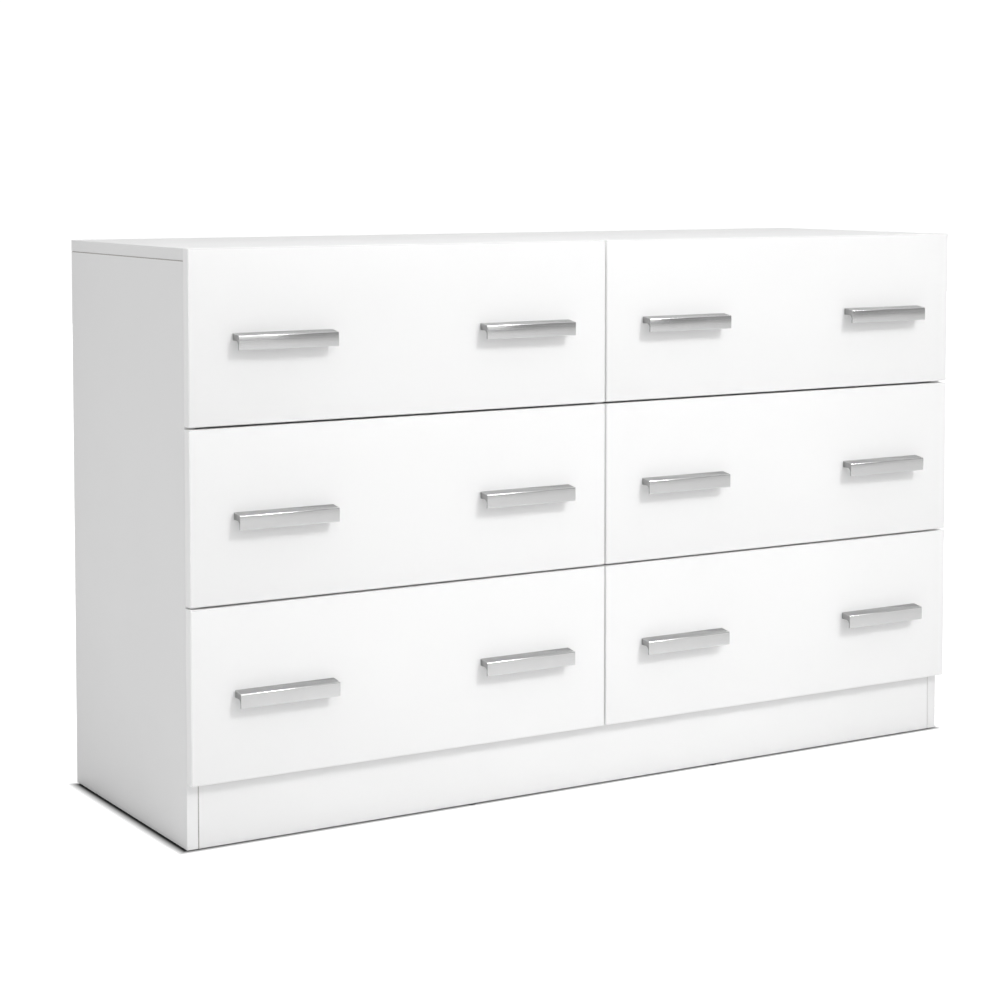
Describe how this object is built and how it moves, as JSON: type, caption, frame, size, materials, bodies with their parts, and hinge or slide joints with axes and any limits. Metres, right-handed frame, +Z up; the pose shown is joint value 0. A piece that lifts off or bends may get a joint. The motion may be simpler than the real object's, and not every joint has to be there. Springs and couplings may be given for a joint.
{
  "type": "chest of drawers",
  "caption": "Low white chest of drawers in two columns, with full overlay fronts, bar handles, roller runners and a plinth.",
  "frame": {"origin": "centre of the footprint, on the floor", "axes": "+X along the width to the viewer's right, +Y towards the back, +Z up; the drawers open along -Y"},
  "size_m": [1.2, 0.4034, 0.735],
  "materials": {
    "white_board": "white melamine, satin",
    "white_hardboard": "white lacquered hardboard",
    "handle_aluminium": "brushed",
    "zinc_steel": "zinc plated",
    "runner_steel": "white powder coat",
    "nylon": "moulded nylon",
    "white_plastic": "extruded plastic",
    "glide_plastic": "moulded plastic"
  },
  "bodies": {
    "cabinet": {"side_panel_left": "white_board", "side_panel_right": "white_board", "top_panel": "white_board", "bottom_panel": "white_board", "centre_divider": "white_board", "plinth_front": "white_board", "plinth_rear": "white_board", "back_panels": "white_hardboard", "back_joining_strip": "white_plastic", "cabinet_runners": "runner_steel", "cabinet_fittings": "zinc_steel", "floor_glides": "glide_plastic"},
    "drawer_left_top": {"front_left_top": "white_board", "box_left_top": "white_board", "bottom_left_top": "white_hardboard", "handles_left_top": "handle_aluminium", "fittings_left_top": "zinc_steel", "runners_left_top": "runner_steel"},
    "rear_roller_pair_left_top": {"rear_rollers_left_top": "nylon"},
    "front_roller_pair_left_top": {"front_rollers_left_top": "nylon"},
    "drawer_left_middle": {"front_left_middle": "white_board", "box_left_middle": "white_board", "bottom_left_middle": "white_hardboard", "handles_left_middle": "handle_aluminium", "fittings_left_middle": "zinc_steel", "runners_left_middle": "runner_steel"},
    "rear_roller_pair_left_middle": {"rear_rollers_left_middle": "nylon"},
    "front_roller_pair_left_middle": {"front_rollers_left_middle": "nylon"},
    "drawer_left_bottom": {"front_left_bottom": "white_board", "box_left_bottom": "white_board", "bottom_left_bottom": "white_hardboard", "handles_left_bottom": "handle_aluminium", "fittings_left_bottom": "zinc_steel", "runners_left_bottom": "runner_steel"},
    "rear_roller_pair_left_bottom": {"rear_rollers_left_bottom": "nylon"},
    "front_roller_pair_left_bottom": {"front_rollers_left_bottom": "nylon"},
    "drawer_right_top": {"front_right_top": "white_board", "box_right_top": "white_board", "bottom_right_top": "white_hardboard", "handles_right_top": "handle_aluminium", "fittings_right_top": "zinc_steel", "runners_right_top": "runner_steel"},
    "rear_roller_pair_right_top": {"rear_rollers_right_top": "nylon"},
    "front_roller_pair_right_top": {"front_rollers_right_top": "nylon"},
    "drawer_right_middle": {"front_right_middle": "white_board", "box_right_middle": "white_board", "bottom_right_middle": "white_hardboard", "handles_right_middle": "handle_aluminium", "fittings_right_middle": "zinc_steel", "runners_right_middle": "runner_steel"},
    "rear_roller_pair_right_middle": {"rear_rollers_right_middle": "nylon"},
    "front_roller_pair_right_middle": {"front_rollers_right_middle": "nylon"},
    "drawer_right_bottom": {"front_right_bottom": "white_board", "box_right_bottom": "white_board", "bottom_right_bottom": "white_hardboard", "handles_right_bottom": "handle_aluminium", "fittings_right_bottom": "zinc_steel", "runners_right_bottom": "runner_steel"},
    "rear_roller_pair_right_bottom": {"rear_rollers_right_bottom": "nylon"},
    "front_roller_pair_right_bottom": {"front_rollers_right_bottom": "nylon"}
  },
  "joints": [
    {"name": "slide_left_top", "type": "slide", "parent": "cabinet", "child": "drawer_left_top", "axis": [0, -1, 0], "range_m": [0, 0.26]},
    {"name": "rear_rollers_turn_left_top", "type": "hinge", "parent": "drawer_left_top", "child": "rear_roller_pair_left_top", "pos_m": [-0.29625, 0.16925, 0.56125], "axis": [1, 0, 0], "range_deg": [-1, 2015]},
    {"name": "front_rollers_turn_left_top", "type": "hinge", "parent": "cabinet", "child": "front_roller_pair_left_top", "pos_m": [-0.29625, -0.15225, 0.56275], "axis": [1, 0, 0], "range_deg": [-1, 1865]},
    {"name": "slide_left_middle", "type": "slide", "parent": "cabinet", "child": "drawer_left_middle", "axis": [0, -1, 0], "range_m": [0, 0.26]},
    {"name": "rear_rollers_turn_left_middle", "type": "hinge", "parent": "drawer_left_middle", "child": "rear_roller_pair_left_middle", "pos_m": [-0.29625, 0.16925, 0.34325], "axis": [1, 0, 0], "range_deg": [-1, 2015]},
    {"name": "front_rollers_turn_left_middle", "type": "hinge", "parent": "cabinet", "child": "front_roller_pair_left_middle", "pos_m": [-0.29625, -0.15225, 0.34475], "axis": [1, 0, 0], "range_deg": [-1, 1865]},
    {"name": "slide_left_bottom", "type": "slide", "parent": "cabinet", "child": "drawer_left_bottom", "axis": [0, -1, 0], "range_m": [0, 0.26]},
    {"name": "rear_rollers_turn_left_bottom", "type": "hinge", "parent": "drawer_left_bottom", "child": "rear_roller_pair_left_bottom", "pos_m": [-0.29625, 0.16925, 0.12525], "axis": [1, 0, 0], "range_deg": [-1, 2015]},
    {"name": "front_rollers_turn_left_bottom", "type": "hinge", "parent": "cabinet", "child": "front_roller_pair_left_bottom", "pos_m": [-0.29625, -0.15225, 0.12675], "axis": [1, 0, 0], "range_deg": [-1, 1865]},
    {"name": "slide_right_top", "type": "slide", "parent": "cabinet", "child": "drawer_right_top", "axis": [0, -1, 0], "range_m": [0, 0.26]},
    {"name": "rear_rollers_turn_right_top", "type": "hinge", "parent": "drawer_right_top", "child": "rear_roller_pair_right_top", "pos_m": [0.29625, 0.16925, 0.56125], "axis": [1, 0, 0], "range_deg": [-1, 2015]},
    {"name": "front_rollers_turn_right_top", "type": "hinge", "parent": "cabinet", "child": "front_roller_pair_right_top", "pos_m": [0.29625, -0.15225, 0.56275], "axis": [1, 0, 0], "range_deg": [-1, 1865]},
    {"name": "slide_right_middle", "type": "slide", "parent": "cabinet", "child": "drawer_right_middle", "axis": [0, -1, 0], "range_m": [0, 0.26]},
    {"name": "rear_rollers_turn_right_middle", "type": "hinge", "parent": "drawer_right_middle", "child": "rear_roller_pair_right_middle", "pos_m": [0.29625, 0.16925, 0.34325], "axis": [1, 0, 0], "range_deg": [-1, 2015]},
    {"name": "front_rollers_turn_right_middle", "type": "hinge", "parent": "cabinet", "child": "front_roller_pair_right_middle", "pos_m": [0.29625, -0.15225, 0.34475], "axis": [1, 0, 0], "range_deg": [-1, 1865]},
    {"name": "slide_right_bottom", "type": "slide", "parent": "cabinet", "child": "drawer_right_bottom", "axis": [0, -1, 0], "range_m": [0, 0.26]},
    {"name": "rear_rollers_turn_right_bottom", "type": "hinge", "parent": "drawer_right_bottom", "child": "rear_roller_pair_right_bottom", "pos_m": [0.29625, 0.16925, 0.12525], "axis": [1, 0, 0], "range_deg": [-1, 2015]},
    {"name": "front_rollers_turn_right_bottom", "type": "hinge", "parent": "cabinet", "child": "front_roller_pair_right_bottom", "pos_m": [0.29625, -0.15225, 0.12675], "axis": [1, 0, 0], "range_deg": [-1, 1865]}
  ],
  "couplings": [
    {"joint": "rear_rollers_turn_left_top", "follows": "slide_left_top", "rad_per_m": 135.14},
    {"joint": "front_rollers_turn_left_top", "follows": "slide_left_top", "rad_per_m": 125},
    {"joint": "rear_rollers_turn_left_middle", "follows": "slide_left_middle", "rad_per_m": 135.14},
    {"joint": "front_rollers_turn_left_middle", "follows": "slide_left_middle", "rad_per_m": 125},
    {"joint": "rear_rollers_turn_left_bottom", "follows": "slide_left_bottom", "rad_per_m": 135.14},
    {"joint": "front_rollers_turn_left_bottom", "follows": "slide_left_bottom", "rad_per_m": 125},
    {"joint": "rear_rollers_turn_right_top", "follows": "slide_right_top", "rad_per_m": 135.14},
    {"joint": "front_rollers_turn_right_top", "follows": "slide_right_top", "rad_per_m": 125},
    {"joint": "rear_rollers_turn_right_middle", "follows": "slide_right_middle", "rad_per_m": 135.14},
    {"joint": "front_rollers_turn_right_middle", "follows": "slide_right_middle", "rad_per_m": 125},
    {"joint": "rear_rollers_turn_right_bottom", "follows": "slide_right_bottom", "rad_per_m": 135.14},
    {"joint": "front_rollers_turn_right_bottom", "follows": "slide_right_bottom", "rad_per_m": 125}
  ]
}
